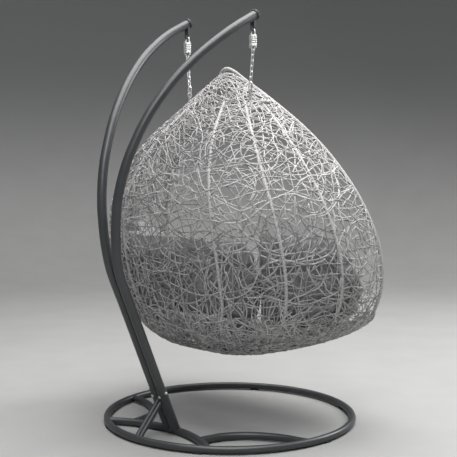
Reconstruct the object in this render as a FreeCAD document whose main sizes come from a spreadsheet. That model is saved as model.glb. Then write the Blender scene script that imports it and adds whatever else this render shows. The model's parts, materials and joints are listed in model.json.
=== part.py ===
import FreeCAD, Part

import math
import os

# Hanging egg chair for two: a bird-nest basket hung by springs and chains from a
# twin-arm steel stand that rises from a ground ring.
#
# Frame: millimetres, +Z up.  The origin is the centre of the ground ring, on the
# floor.  The mouth of the basket faces -Y, the post stands on the +Y side, and
# "left" is the sitter's left, +X.

V = FreeCAD.Vector
UP = V(0, 0, 1)
SIDES = (("left", 1), ("right", -1))

# ---------------------------------------------------------------- driving sizes
DIMENSIONS = {
    # ground ring and the tubes that lie inside it
    "ring_radius": 605.0,
    "ring_tube_radius": 17.0,
    "ring_height": 21.0,
    "tube_wall": 1.6,
    "pad_length": 46.0,
    "pad_width": 30.0,
    "pad_height": 11.0,
    # sockets, braces and arms
    "arm_radius": 21.0,
    "arm_wall": 2.0,
    "socket_radius": 22.9,
    "socket_wall": 1.7,
    "post_half_spacing": 23.2,
    "post_foot_back": 394.0,
    "post_lean_deg": 23.9,
    "socket_top_height": 234.0,
    "socket_bottom_height": 27.0,
    "insert_length": 150.0,
    "brace_radius": 11.0,
    "rear_bolt_height": 205.0,
    "cross_bolt_height": 216.0,
    "bolt_radius": 4.0,
    "bolt_clearance": 0.3,
    # caps and hooks on the ends of the arms
    "cap_skirt_length": 12.0,
    "cap_skirt_wall": 4.5,
    "hook_half_spacing": 218.0,
    "hook_back": 74.0,
    "swing_height": 1882.0,
    "hook_shank_width": 24.0,
    "hook_shank_depth": 11.0,
    "hook_lug_radius": 15.0,
    "hook_lug_thickness": 7.5,
    "hook_hole_radius": 7.0,
    # springs
    "loop_wire_radius": 3.0,
    "loop_half_width": 10.5,
    "spring_radius": 19.0,
    "spring_wire_radius": 2.5,
    "spring_bottom": 1806.0,
    "spring_length": 48.0,
    "spring_turns": 5.0,
    "loop_bottom_height": 1786.0,
    # chains and quick links
    "link_wire_radius": 2.5,
    "link_half_width": 6.5,
    "level_height": 1636.0,
    "level_half_spacing": 203.0,
    "tilt_height": 1600.0,
    "quick_wire_radius": 3.0,
    "quick_half_width": 9.0,
    "link_gap": 0.2,
    "open_pivot_gap": 0.7,
    # basket
    "weave_thickness": 6.0,
    "rim_radius": 9.0,
    "rib_radius": 7.0,
    "lip_height": 500.0,
    "base_hoop_height": 388.0,
    "top_hoop_height": 1550.0,
    "lug_thickness": 6.0,
    "lug_width": 28.0,
    "lug_hole_radius": 6.5,
}

CHAIN_LINKS = 6
PAD_COUNT = 6
SUPERELLIPSE = 2.9
RIB_ANGLES = (16.0, 43.0, 73.0, 107.0, 137.0, 164.0)

# Basket outline at key heights: (height, half width, depth behind the mouth,
# place of the mouth along Y).  Between them the outline is one smooth curve.
OUTLINE = (
    (345.0, 230.0, 380.0, -270.0),
    (400.0, 400.0, 560.0, -288.0),
    (500.0, 590.0, 650.0, -305.0),
    (650.0, 690.0, 685.0, -298.0),
    (850.0, 718.0, 695.0, -258.0),
    (1100.0, 652.0, 635.0, -188.0),
    (1350.0, 465.0, 485.0, -136.0),
    (1550.0, 246.0, 220.0, -60.0),
    (1700.0, 42.0, 28.0, 6.0),
)
RIM_APEX = V(0, 22, 1718)
FRONT_SHARE = 0.27

# Arm centre line after the straight post: (distance from the middle plane,
# distance back, height).
ARM_POINTS = (
    (26.0, 738.0, 803.0),
    (38.0, 757.0, 935.0),
    (52.0, 761.0, 1100.0),
    (75.0, 727.0, 1268.0),
    (111.0, 641.0, 1465.0),
    (155.0, 517.0, 1634.0),
    (200.0, 373.0, 1768.0),
    (226.0, 213.0, 1877.0),
    (222.0, 60.0, 1952.0),
)

doc = FreeCAD.newDocument("egg_chair")
sheet = doc.addObject("Spreadsheet::Sheet", "dims")
for row, (alias, value) in enumerate(DIMENSIONS.items(), start=1):
    sheet.set("A%d" % row, alias)
    sheet.set("B%d" % row, str(value))
    sheet.setAlias("B%d" % row, alias)
doc.recompute()

NODES = {}


def size(alias):
    """Value of a driving dimension, read from the sheet."""
    return float(sheet.get(alias))


def node(obj, name):
    """Register an object of the document as a kept sub-part."""
    obj.Label = name
    NODES[name] = obj
    return obj


def bind(obj, **expressions):
    """Bind properties of an object to cells of the sheet."""
    for prop, expression in expressions.items():
        obj.setExpression(prop, expression)


def shape_object(name, shape):
    obj = doc.addObject("Part::Feature", name)
    obj.Shape = shape
    return obj


def cut(name, base, tool):
    obj = doc.addObject("Part::Cut", name)
    obj.Base = base
    obj.Tool = tool
    return obj


def fuse(name, parts):
    obj = doc.addObject("Part::MultiFuse", name)
    obj.Shapes = parts
    return obj


def group(name, shapes):
    """Several separate solids in one node."""
    return shape_object(name, Part.makeCompound(shapes))


# ------------------------------------------------------------------ path helpers
def corner_arc(before, point, after):
    """Ends and middle of the tangent arc that rounds one corner of a route."""
    arriving = (point - before).normalize()
    leaving = (after - point).normalize()
    turn = arriving.getAngle(leaving)
    reach = 0.45 * min((point - before).Length, (after - point).Length)
    radius = reach / math.tan(turn / 2)
    inward = (leaving - arriving).normalize()
    centre = point + inward * math.hypot(radius, reach)
    return point - arriving * reach, centre - inward * radius, point + leaving * reach


def rounded_route(points, closed=False):
    """Wire of straight runs joined by tangent arcs through a list of points."""
    count = len(points)
    corners = range(count) if closed else range(1, count - 1)
    arcs = [corner_arc(points[i - 1], points[i], points[(i + 1) % count]) for i in corners]
    edges = []
    here = arcs[-1][2] if closed else points[0]
    for start, middle, end in arcs:
        edges.append(Part.LineSegment(here, start).toShape())
        edges.append(Part.Arc(start, middle, end).toShape())
        here = end
    if not closed:
        edges.append(Part.LineSegment(here, points[-1]).toShape())
    return Part.Wire(edges)


def circle_across(wire, radius):
    """Circle of a given radius across the start of a wire."""
    first = wire.Edges[0]
    start = first.valueAt(first.FirstParameter)
    heading = first.tangentAt(first.FirstParameter)
    return Part.Wire([Part.makeCircle(radius, start, heading)])


def rod_shape(points, radius, closed=False):
    """Round bar along a rounded route."""
    wire = rounded_route(points, closed)
    return wire.makePipeShell([circle_across(wire, radius)], True, False)


def straight_rod(start, end, radius):
    return Part.makeCylinder(radius, (end - start).Length, start, end - start)


def sweep(name, path, radius_expression):
    """Part::Sweep of a circle, whose radius is bound to the sheet, along a path."""
    first = path.Shape.Edges[0]
    start = first.valueAt(first.FirstParameter)
    heading = first.tangentAt(first.FirstParameter)
    circle = doc.addObject("Part::Circle", name + "_profile")
    circle.Placement = FreeCAD.Placement(start, FreeCAD.Rotation(UP, heading))
    circle.setExpression("Radius", radius_expression)
    solid = doc.addObject("Part::Sweep", name)
    solid.Sections = [circle]
    solid.Spine = (path, ["Edge%d" % (i + 1) for i in range(len(path.Shape.Edges))])
    solid.Solid = True
    solid.Frenet = False
    return solid


# --------------------------------------------------------------- basket surface
def outline_at(height):
    """Half width, depth and mouth place at a height, on one smooth curve."""
    keys = [row[0] for row in OUTLINE]
    last = len(keys) - 1
    k = max(i for i in range(last) if keys[i] <= max(height, keys[0]))
    span = keys[k + 1] - keys[k]
    share = (height - keys[k]) / span

    def slope(i, column):
        low = max(i - 1, 0)
        high = min(i + 1, last)
        return (OUTLINE[high][column] - OUTLINE[low][column]) / (keys[high] - keys[low])

    values = []
    for column in (1, 2, 3):
        rise = slope(k, column) * span
        run = slope(k + 1, column) * span
        a = OUTLINE[k][column]
        b = OUTLINE[k + 1][column]
        values.append(
            a * (1 + 2 * share) * (1 - share) ** 2
            + rise * share * (1 - share) ** 2
            + b * share ** 2 * (3 - 2 * share)
            + run * share ** 2 * (share - 1)
        )
    return values


def surface_point(height, angle_deg, inset=0.0):
    """Point of the basket wall: 0 deg is the left rim, 90 the back, 270 the front."""
    width, depth, mouth = outline_at(height)
    cosine = math.cos(math.radians(angle_deg))
    sine = math.sin(math.radians(angle_deg))
    power = 2.0 / SUPERELLIPSE
    reach = depth if sine >= 0 else FRONT_SHARE * width
    x = math.copysign(max(width - inset, 1.0) * abs(cosine) ** power, cosine)
    y = mouth + math.copysign(max(reach - inset, 1.0) * abs(sine) ** power, sine)
    return V(x, y, height)


def square_inset(height, clearance):
    """Level inset that leaves a clearance measured square to the flaring wall."""
    flare = (outline_at(height + 4)[0] - outline_at(height - 4)[0]) / 8
    return clearance * math.hypot(1, flare)


def frame_point(height, angle_deg, clearance):
    """Point inside the wall, a clearance away from it measured square to the wall."""
    return surface_point(height, angle_deg, square_inset(height, clearance))


def spline_edge(points, closed=False):
    curve = Part.BSplineCurve()
    curve.interpolate(points, PeriodicFlag=closed)
    return curve.toShape()


def wall_arc(height, inset, first_deg, last_deg, steps=18):
    spread = last_deg - first_deg
    angles = [first_deg + spread * i / steps for i in range(steps + 1)]
    return [surface_point(height, a, inset) for a in angles]


def band_wire(height, outer_inset, inner_inset, first_deg, last_deg):
    """Closed flat outline between two insets of the wall."""
    outer = wall_arc(height, outer_inset, first_deg, last_deg)
    inner = wall_arc(height, inner_inset, first_deg, last_deg)
    return Part.Wire([
        spline_edge(outer),
        Part.LineSegment(outer[-1], inner[-1]).toShape(),
        spline_edge(inner[::-1]),
        Part.LineSegment(inner[0], outer[0]).toShape(),
    ])


def loop_wire(height, inset):
    """Closed flat outline all round the basket at one height."""
    points = wall_arc(height, inset, 0.0, 354.0, steps=59)
    return Part.Wire([spline_edge(points, closed=True)])


def loft(wires):
    return Part.makeLoft(wires, True, True)


# ------------------------------------------------------------------- ground ring
ring_centre = V(0, 0, size("ring_height"))


def ring_torus(name, radius_expression):
    torus = doc.addObject("Part::Torus", name)
    bind(torus, Radius1="dims.ring_radius", Radius2=radius_expression)
    torus.Placement.Base = ring_centre
    return torus


ring_outer = ring_torus("ring_outer", "dims.ring_tube_radius")
ring_bore = ring_torus("ring_bore", "dims.ring_tube_radius - dims.tube_wall")
node(cut("ring", ring_outer, ring_bore), "base_ring")


def ground_point(x, back):
    return V(x, back, size("ring_height"))


def ring_point(from_rear_deg, side=1):
    turn = math.radians(from_rear_deg)
    radius = size("ring_radius")
    return ground_point(side * radius * math.sin(turn), radius * math.cos(turn))


# Post arc: bows forward through the foot of the post and ends on the ring.
post_arc_path = shape_object("post_arc_path", Part.Wire([
    Part.Arc(ring_point(34.3), ground_point(0, size("post_foot_back") - 6), ring_point(34.3, -1)).toShape(),
]))
post_arc_outer = sweep("post_arc_outer", post_arc_path, "dims.ring_tube_radius")
post_arc_bore = sweep("post_arc_bore", post_arc_path, "dims.ring_tube_radius - dims.tube_wall")
post_arc_tube = cut("post_arc_tube", post_arc_outer, post_arc_bore)
node(cut("post_arc_cut", post_arc_tube, ring_outer), "post_arc")

# Side arcs: quarter bends from the ring's flanks to the post arc.
SIDE_ARC_POINTS = ((590.0, 118.0), (455.0, 140.0), (325.0, 212.0), (246.0, 316.0), (226.0, 424.0))
ring_and_post_arc = fuse("ring_and_post_arc", [ring_outer, post_arc_outer])
for side_name, side in SIDES:
    route = [ground_point(side * x, back) for x, back in SIDE_ARC_POINTS]
    side_path = shape_object("side_arc_path_" + side_name, rounded_route(route))
    side_outer = sweep("side_arc_outer_" + side_name, side_path, "dims.ring_tube_radius")
    side_bore = sweep("side_arc_bore_" + side_name, side_path, "dims.ring_tube_radius - dims.tube_wall")
    side_tube = cut("side_arc_tube_" + side_name, side_outer, side_bore)
    node(cut("side_arc_cut_" + side_name, side_tube, ring_and_post_arc), "side_arc_" + side_name)


# Rubber pads saddle the underside of the ring and touch the floor.
def foot_pads():
    box = Part.makeBox(size("pad_length"), size("pad_width"), size("pad_height"))
    box.translate(V(-size("pad_length") / 2, size("ring_radius") - size("pad_width") / 2, 0))
    long_edges = [e for e in box.Edges if abs(e.tangentAt(0).z) > 0.9]
    pad = box.makeFillet(8.0, long_edges)
    pad = pad.cut(Part.makeTorus(size("ring_radius"), size("ring_tube_radius"), ring_centre, UP))
    pads = []
    for i in range(PAD_COUNT):
        turned = pad.copy()
        turned.rotate(V(0, 0, 0), UP, 360.0 / PAD_COUNT * (i + 0.5))
        pads.append(turned)
    return group("pads", pads)


node(foot_pads(), "foot_pads")

# --------------------------------------------------------------- post and arms
lean = math.radians(size("post_lean_deg"))
post_axis = V(0, math.sin(lean), math.cos(lean))


def post_point(side, height):
    """Point on the straight part of a post tube's centre line."""
    rise = height - 31.0
    return V(side * size("post_half_spacing"), size("post_foot_back") + rise * math.tan(lean), height)


def bolt_cutters(side):
    """Clearance holes of the rear bolt and of the cross bolt in one post tube."""
    radius = size("bolt_radius") + size("bolt_clearance")
    across = V(0, math.cos(lean), -math.sin(lean))
    rear = post_point(side, size("rear_bolt_height"))
    cross = post_point(side, size("cross_bolt_height"))
    return Part.makeCompound([
        straight_rod(rear, rear + across * 60, radius),
        straight_rod(cross - V(60, 0, 0), cross + V(60, 0, 0), radius),
    ])


def arm_route(side):
    start = post_point(side, size("socket_top_height") - size("insert_length"))
    knee = post_point(side, 600.0)
    return [start, knee] + [V(side * x, back, height) for x, back, height in ARM_POINTS]


floor_block = doc.addObject("Part::Box", "floor_block")
bind(floor_block, Height="dims.socket_bottom_height + 50")
floor_block.Length = 200
floor_block.Width = 400
floor_block.Placement.Base = V(-100, 200, -50)

for side_name, side in SIDES:
    holes = shape_object("bolt_holes_" + side_name, bolt_cutters(side))

    # Socket: a short tube welded over the post arc, coped to sit on it.
    foot = post_point(side, 0.0)
    socket_outer = doc.addObject("Part::Cylinder", "socket_outer_" + side_name)
    socket_bore = doc.addObject("Part::Cylinder", "socket_bore_" + side_name)
    bind(socket_outer, Radius="dims.socket_radius", Height="dims.socket_top_height / cos(dims.post_lean_deg)")
    bind(socket_bore, Radius="dims.socket_radius - dims.socket_wall", Height="600 mm")
    for cylinder in (socket_outer, socket_bore):
        cylinder.Placement = FreeCAD.Placement(foot, FreeCAD.Rotation(UP, post_axis))
    socket_cutters = fuse("socket_cutters_" + side_name, [socket_bore, floor_block, post_arc_outer, holes])
    node(cut("socket_cut_" + side_name, socket_outer, socket_cutters), "socket_tube_" + side_name)

    # Arm: one long bent tube, pushed into the socket.
    arm_path = shape_object("arm_path_" + side_name, rounded_route(arm_route(side)))
    arm_outer = sweep("arm_outer_" + side_name, arm_path, "dims.arm_radius")
    arm_bore = sweep("arm_bore_" + side_name, arm_path, "dims.arm_radius - dims.arm_wall")
    arm_cutters = fuse("arm_cutters_" + side_name, [arm_bore, holes])
    node(cut("arm_cut_" + side_name, arm_outer, arm_cutters), "arm_tube_" + side_name)


# Rear brace: two small tubes from the top of the ring to the backs of the sockets.
def brace_tube(side):
    spacing = size("brace_radius") + 0.3
    low = V(side * spacing, size("ring_radius") + 2, size("ring_height"))
    high_centre = post_point(1, 182.0)
    high = V(side * spacing, high_centre.y, high_centre.z)
    outer = straight_rod(low, high, size("brace_radius"))
    bore = straight_rod(low, high, size("brace_radius") - size("tube_wall"))
    tube = outer.cut(bore)
    tube = tube.cut(Part.makeTorus(size("ring_radius"), size("ring_tube_radius"), ring_centre, UP))
    for post_side in (1, -1):
        socket_axis_start = post_point(post_side, 0.0)
        tube = tube.cut(Part.makeCylinder(size("socket_radius"), 400, socket_axis_start, post_axis))
    return max(tube.Solids, key=lambda solid: solid.Volume)


for side_name, side in SIDES:
    node(shape_object("brace_" + side_name, brace_tube(side)), "rear_brace_" + side_name)


# Bolts: button heads on the back of each socket, one long cross bolt with cap nuts.
def button_bolt(seat, direction, shank_length):
    """Button-head bolt whose head rests at the seat and whose shank points away."""
    radius = size("bolt_radius")
    shank = straight_rod(seat, seat + direction * shank_length, radius)
    collar = straight_rod(seat - direction * 2.0, seat, radius * 1.9)
    dome = Part.makeCone(radius * 1.9, radius * 1.1, 3.0, seat - direction * 2.0, direction * -1)
    recess = Part.makeCylinder(radius * 0.6, 2.5, seat - direction * 5.0, direction)
    return shank.fuse(collar).fuse(dome).cut(recess).removeSplitter()


def rear_bolts():
    across = V(0, math.cos(lean), -math.sin(lean))
    bolts = []
    for side_name, side in SIDES:
        centre = post_point(side, size("rear_bolt_height"))
        bolts.append(button_bolt(centre + across * (size("socket_radius") + 0.1), across * -1, 14.0))
    return group("rear_bolt_group", bolts)


def cross_bolt():
    centre = post_point(1, size("cross_bolt_height"))
    half = size("post_half_spacing") + size("socket_radius") + 0.1
    seat = V(half, centre.y, centre.z)
    return button_bolt(seat, V(-1, 0, 0), 2 * half + 8.0)


def hex_prism(centre, axis, across_flats, height):
    radius = across_flats / math.sqrt(3.0)
    corners = [V(radius * math.cos(math.pi / 3 * i), radius * math.sin(math.pi / 3 * i), 0) for i in range(7)]
    prism = Part.Face(Part.makePolygon(corners)).extrude(UP * height)
    prism.Placement = FreeCAD.Placement(centre, FreeCAD.Rotation(UP, axis))
    return prism


def cap_nut():
    """Cap nut on the plain end of the cross bolt."""
    centre = post_point(-1, size("cross_bolt_height"))
    half = size("post_half_spacing") + size("socket_radius") + 0.1
    seat = V(-half, centre.y, centre.z)
    body = hex_prism(seat, V(-1, 0, 0), 13.0, 7.0)
    dome = Part.makeSphere(6.0, seat + V(-7, 0, 0))
    bore = Part.makeCylinder(size("bolt_radius") + 0.05, 8.5, seat, V(-1, 0, 0))
    return body.fuse(dome).cut(bore).removeSplitter()


node(rear_bolts(), "rear_bolts")
node(shape_object("cross_bolt_shape", cross_bolt()), "cross_bolt")
node(shape_object("cap_nut_shape", cap_nut()), "cap_nut")


# --------------------------------------------------------- arm ends and hooks
def origin_plane(body, role):
    return next(f for f in body.Origin.OriginFeatures if f.Role == role)


def revolved_body(name, profile):
    """PartDesign body turned about its own Z axis from a (radius, height) profile."""
    body = doc.addObject("PartDesign::Body", name)
    sketch = body.newObject("Sketcher::SketchObject", name + "_sketch")
    sketch.AttachmentSupport = [(origin_plane(body, "XZ_Plane"), "")]
    sketch.MapMode = "FlatFace"
    for (r0, z0), (r1, z1) in zip(profile, profile[1:] + profile[:1]):
        sketch.addGeometry(Part.LineSegment(V(r0, z0, 0), V(r1, z1, 0)), False)
    turned = body.newObject("PartDesign::Revolution", name + "_turned")
    turned.Profile = sketch
    turned.ReferenceAxis = (sketch, ["V_Axis"])
    turned.Angle = 360.0
    body.Tip = turned
    return body


def end_cap(side_name, side):
    """Slip-over plastic cap on the end of an arm: a plug, a thick skirt and a low dome."""
    outer = size("arm_radius")
    bore = outer - size("arm_wall")
    skirt = size("cap_skirt_length")
    rim = outer + size("cap_skirt_wall")
    profile = [(0.0, -16.0), (bore - 0.4, -16.0), (bore - 0.4, 0.0), (outer + 0.2, 0.0)]
    profile += [(outer + 0.2, -skirt), (rim - 1.0, -skirt), (rim, 1.5 - skirt)]
    profile += [(rim, 2.0), (rim - 2.5, 4.5), (outer - 6.0, 7.0), (0.0, 8.0)]
    cap = revolved_body("cap_" + side_name, profile)
    points = arm_route(side)
    heading = points[-1] - points[-2]
    cap.Placement = FreeCAD.Placement(points[-1], FreeCAD.Rotation(UP, heading))
    return cap


def hook(side_name, side):
    """Flat bar and drilled lug under the end of an arm."""
    centre_x = side * size("hook_half_spacing")
    lift = size("hook_hole_radius") - size("loop_wire_radius") - 0.1
    hole_height = size("swing_height") + lift
    middle = V(centre_x, size("hook_back"), hole_height)
    thickness = size("hook_lug_thickness")
    lug = Part.makeCylinder(size("hook_lug_radius"), thickness, middle - V(thickness / 2, 0, 0), V(1, 0, 0))
    width = size("hook_shank_width")
    depth = size("hook_shank_depth")
    shank_base = hole_height + size("hook_hole_radius") + 1.0
    corner = V(centre_x - width / 2, size("hook_back") - depth / 2, shank_base)
    shank = Part.makeBox(width, depth, 1950 - shank_base, corner)
    hole = Part.makeCylinder(size("hook_hole_radius"), 40, middle - V(20, 0, 0), V(1, 0, 0))
    body = lug.makeChamfer(1.2, lug.Edges[:1]).fuse(shank).cut(hole)
    arm = rod_shape(arm_route(side), size("arm_radius"))
    return max(body.cut(arm).Solids, key=lambda solid: -solid.CenterOfMass.z)


for side_name, side in SIDES:
    node(end_cap(side_name, side), "end_cap_" + side_name)
    node(shape_object("hook_shape_" + side_name, hook(side_name, side)), "hook_" + side_name)


# ------------------------------------------------------------------------ springs
def draw_loop(centre, crown, foot, across):
    """U-shaped draw bar: crown at one height, legs to another, feet turned outward."""
    half = size("loop_half_width")
    reach = size("spring_radius") + 1.0
    step = math.copysign(8.0, foot - crown)
    x, y = centre

    def place(offset, height):
        return V(x, y, height) + across * offset

    route = [
        place(-reach, foot), place(-half, foot), place(-half, crown + step),
        place(-half + 2.5, crown), place(half - 2.5, crown),
        place(half, crown + step), place(half, foot), place(reach, foot),
    ]
    return rod_shape(route, size("loop_wire_radius"))


spring_clear = size("spring_wire_radius") + size("loop_wire_radius") + 0.1
spring_low = size("spring_bottom")
spring_high = spring_low + size("spring_length")
for side_name, side in SIDES:
    centre = (side * size("hook_half_spacing"), size("hook_back"))
    upper = draw_loop(centre, size("swing_height"), spring_low - spring_clear, V(1, 0, 0))
    lower = draw_loop(centre, size("loop_bottom_height"), spring_high + spring_clear, V(0, 1, 0))
    node(shape_object("upper_loop_shape_" + side_name, upper), "spring_upper_loop_" + side_name)
    node(shape_object("lower_loop_shape_" + side_name, lower), "spring_lower_loop_" + side_name)

    helix = doc.addObject("Part::Helix", "coil_path_" + side_name)
    bind(
        helix,
        Radius="dims.spring_radius - dims.spring_wire_radius",
        Pitch="dims.spring_length / dims.spring_turns",
        Height="dims.spring_length",
    )
    doc.recompute()
    coil_profile = doc.addObject("Part::Circle", "coil_profile_" + side_name)
    coil_profile.setExpression("Radius", "dims.spring_wire_radius")
    coil_profile.setExpression("Placement.Base.x", "dims.spring_radius - dims.spring_wire_radius")
    coil_profile.Placement.Rotation = FreeCAD.Rotation(V(1, 0, 0), 90)
    coil = doc.addObject("Part::Sweep", "coil_" + side_name)
    coil.Sections = [coil_profile]
    coil.Spine = (helix, ["Edge1"])
    coil.Solid = True
    coil.Frenet = True
    coil.Placement.Base = V(centre[0], centre[1], spring_low)
    node(coil, "spring_coil_" + side_name)


# ------------------------------------------------------------ chains, quick links
def oval_link(centre, along, across, half_length, half_width, wire_radius):
    """Closed oval link: two straight legs joined by half-round ends."""
    straight = half_length - half_width
    top_left = centre + along * straight - across * half_width
    top_right = centre + along * straight + across * half_width
    low_left = centre - along * straight - across * half_width
    low_right = centre - along * straight + across * half_width
    wire = Part.Wire([
        Part.LineSegment(low_left, top_left).toShape(),
        Part.Arc(top_left, centre + along * half_length, top_right).toShape(),
        Part.LineSegment(top_right, low_right).toShape(),
        Part.Arc(low_right, centre - along * half_length, low_left).toShape(),
    ])
    return wire.makePipeShell([circle_across(wire, wire_radius)], True, False)


def chain(side):
    """Row of links from the spring's lower loop to the quick link, turned by turns."""
    top = V(side * size("hook_half_spacing"), size("hook_back"), size("loop_bottom_height"))
    low = V(side * size("level_half_spacing"), size("hook_back"), size("level_height"))
    down = (low - top).normalize()
    wire_radius = size("link_wire_radius")
    gap = size("link_gap")
    first_crown = top - down * (size("loop_wire_radius") + wire_radius + gap)
    crown_span = (low - first_crown).Length
    overlap = 2 * wire_radius + gap
    half_length = (crown_span + (CHAIN_LINKS - 1) * overlap) / CHAIN_LINKS / 2
    pitch = 2 * half_length - overlap
    sideways = V(down.z, 0, -down.x) * -1
    links = []
    for i in range(CHAIN_LINKS):
        centre = first_crown + down * (half_length + i * pitch)
        across = sideways if i % 2 == 0 else V(0, 1, 0)
        links.append(oval_link(centre, down, across, half_length, size("link_half_width"), wire_radius))
    return group("chain_links", links)


def quick_link(side):
    """Oval screw link with its hex sleeve, between the chain and the basket's lug."""
    x = side * size("level_half_spacing")
    lift = size("link_wire_radius") + size("quick_wire_radius") + size("open_pivot_gap")
    top_crown = size("level_height") + lift
    half_length = (top_crown - size("tilt_height")) / 2
    centre = V(x, size("hook_back"), size("tilt_height") + half_length)
    link = oval_link(centre, UP, V(1, 0, 0), half_length, size("quick_half_width"), size("quick_wire_radius"))
    sleeve_base = centre + V(side * size("quick_half_width"), 0, -6)
    return link.fuse(hex_prism(sleeve_base, UP, 10.0, 12.0))


for side_name, side in SIDES:
    node(chain(side), "chain_" + side_name)
    node(shape_object("quick_link_shape_" + side_name, quick_link(side)), "quick_link_" + side_name)


# ------------------------------------------------------------------ basket frame
HOOD_LEVELS = (500, 540, 590, 650, 740, 850, 975, 1100, 1225, 1350, 1450, 1550, 1630, 1700)
BOWL_LEVELS = (345, 358, 375, 400, 430, 465, 500)
RIB_LEVELS = (388, 430, 500, 620, 780, 950, 1100, 1250, 1400, 1550)
RIM_LEVELS = (590, 700, 850, 1000, 1150, 1300, 1430, 1550, 1640)


def mouth_rim():
    """Closed tube round the mouth: up one side, over the apex, down, and along the lip."""
    inset = size("rim_radius")
    left = [surface_point(level, 0, inset) for level in RIM_LEVELS]
    right = [surface_point(level, 180, inset) for level in reversed(RIM_LEVELS)]
    lip = [surface_point(size("lip_height"), angle, inset) for angle in (205, 235, 262, 278, 305, 335)]
    return rod_shape(left + [RIM_APEX] + right + lip, inset, closed=True)


def rib(angle):
    clearance = size("weave_thickness") + size("rib_radius")
    return rod_shape([frame_point(level, angle, clearance) for level in RIB_LEVELS], size("rib_radius"))


def hoop(height, angles):
    """Closed hoop inside the wall that joins the ends of the ribs."""
    clearance = size("weave_thickness") + size("rib_radius")
    points = [frame_point(height, angle, clearance) for angle in angles]
    return rod_shape(points, size("rib_radius"), closed=True)


def hanger_bar():
    """Cross bar under the crown with a drilled lug near each end."""
    height = size("top_hoop_height")
    back = size("hook_back")
    half = size("level_half_spacing") + 16
    bar = straight_rod(V(-half, back, height), V(half, back, height), 9.0)
    drop = size("lug_hole_radius") - size("quick_wire_radius") - 0.8
    hole_height = size("tilt_height") - drop
    thickness = size("lug_thickness")
    width = size("lug_width")
    for side_name, side in SIDES:
        x = side * size("level_half_spacing")
        plate = Part.makeBox(thickness, width, hole_height - height, V(x - thickness / 2, back - width / 2, height))
        head = Part.makeCylinder(width / 2, thickness, V(x - thickness / 2, back, hole_height), V(1, 0, 0))
        hole = Part.makeCylinder(size("lug_hole_radius"), 40, V(x - 20, back, hole_height), V(1, 0, 0))
        bar = bar.fuse(plate.fuse(head)).cut(hole)
    return bar.removeSplitter()


node(shape_object("mouth_rim_shape", mouth_rim()), "mouth_rim")
for number, angle in enumerate(RIB_ANGLES, start=1):
    node(shape_object("rib_shape_%d" % number, rib(angle)), "rib_%d" % number)
base_angles = [7.5 + 15 * i for i in range(24)]
top_angles = [6, 30, 54, 78, 102, 126, 150, 174]
node(shape_object("base_hoop_shape", hoop(size("base_hoop_height"), base_angles)), "base_hoop")
node(shape_object("top_hoop_shape", hoop(size("top_hoop_height"), top_angles)), "top_hoop")
node(shape_object("hanger_bar_shape", hanger_bar()), "hanger_bar")


# ------------------------------------------------------------------ basket weave
def woven_hood():
    """Curved wall behind and beside the sitter, open in front."""
    thickness = size("weave_thickness")
    return loft([band_wire(level, 0.0, thickness, 0.0, 180.0) for level in HOOD_LEVELS])


def woven_bowl():
    """Dished bottom of the basket, closed all round."""
    thickness = size("weave_thickness")
    outer = loft([loop_wire(level, 0.0) for level in BOWL_LEVELS])
    inner_levels = (BOWL_LEVELS[0] + thickness,) + BOWL_LEVELS[1:]
    inner = loft([loop_wire(level, thickness * 1.6) for level in inner_levels])
    return outer.cut(inner)


node(shape_object("woven_hood_shape", woven_hood()), "woven_hood")
node(shape_object("woven_bowl_shape", woven_bowl()), "woven_bowl")

# ---------------------------------------------------------------------- cushions
# Height and clearance from the wall of the seat cushion's edge, from below upward.
SEAT_PROFILE = ((405, 62.0), (425, 38.0), (455, 30.0), (495, 30.0), (520, 44.0), (534, 84.0))
# Pillow sections from the foot upward: height, how far the back and the front stand
# in from the wall, and the wall angle of the end that is nearer the mouth.
SIDE_PILLOW = (
    (542, 52.0, 150.0, 4.0), (580, 42.0, 184.0, 3.2), (700, 34.0, 190.0, 3.0),
    (840, 36.0, 168.0, 6.0), (905, 42.0, 142.0, 12.5), (952, 62.0, 112.0, 21.0),
)
SIDE_PILLOW_BACK_END = 55.0
CENTRE_PILLOW = (
    (542, 52.0, 150.0, 57.0), (580, 42.0, 190.0, 57.0), (700, 34.0, 196.0, 57.0),
    (840, 36.0, 170.0, 57.5), (930, 54.0, 126.0, 60.0),
)


def seat_cushion():
    return loft([loop_wire(level, square_inset(level, clearance)) for level, clearance in SEAT_PROFILE])


def side_pillow(mirrored):
    """Pillow that follows the side wall from the back corner to near the mouth."""
    wires = []
    for level, near_wall, far_side, front_end in SIDE_PILLOW:
        first, last = front_end, SIDE_PILLOW_BACK_END
        if mirrored:
            first, last = 180 - last, 180 - first
        wires.append(band_wire(level, near_wall, far_side, first, last))
    return loft(wires)


def centre_pillow():
    """Pillow across the back wall, between the two side pillows."""
    wires = []
    for level, near_wall, far_side, first in CENTRE_PILLOW:
        wires.append(band_wire(level, near_wall, far_side, first, 180 - first))
    return loft(wires)


node(shape_object("seat_cushion_shape", seat_cushion()), "seat_cushion")
node(shape_object("back_cushion_left_shape", side_pillow(False)), "back_cushion_left")
node(shape_object("back_cushion_centre_shape", centre_pillow()), "back_cushion_centre")
node(shape_object("back_cushion_right_shape", side_pillow(True)), "back_cushion_right")

# ------------------------------------------------------------------------ export
doc.recompute()
for obj in doc.Objects:
    if "Invalid" in obj.State or "Error" in obj.State:
        raise RuntimeError("%s failed: %s" % (obj.Label, obj.State))

os.makedirs("parts", exist_ok=True)
for name, obj in NODES.items():
    shape = obj.Shape
    if shape.isNull() or not shape.isValid() or shape.Volume <= 0:
        raise RuntimeError("%s has no valid solid" % name)
    shape.exportStep("parts/%s.step" % name)
    print("%-28s %2d solid(s) %12.0f mm3" % (name, len(shape.Solids), shape.Volume))
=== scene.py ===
import json
import math

import bmesh
import bpy
import numpy as np
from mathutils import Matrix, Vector
from mathutils.bvhtree import BVHTree


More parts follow.
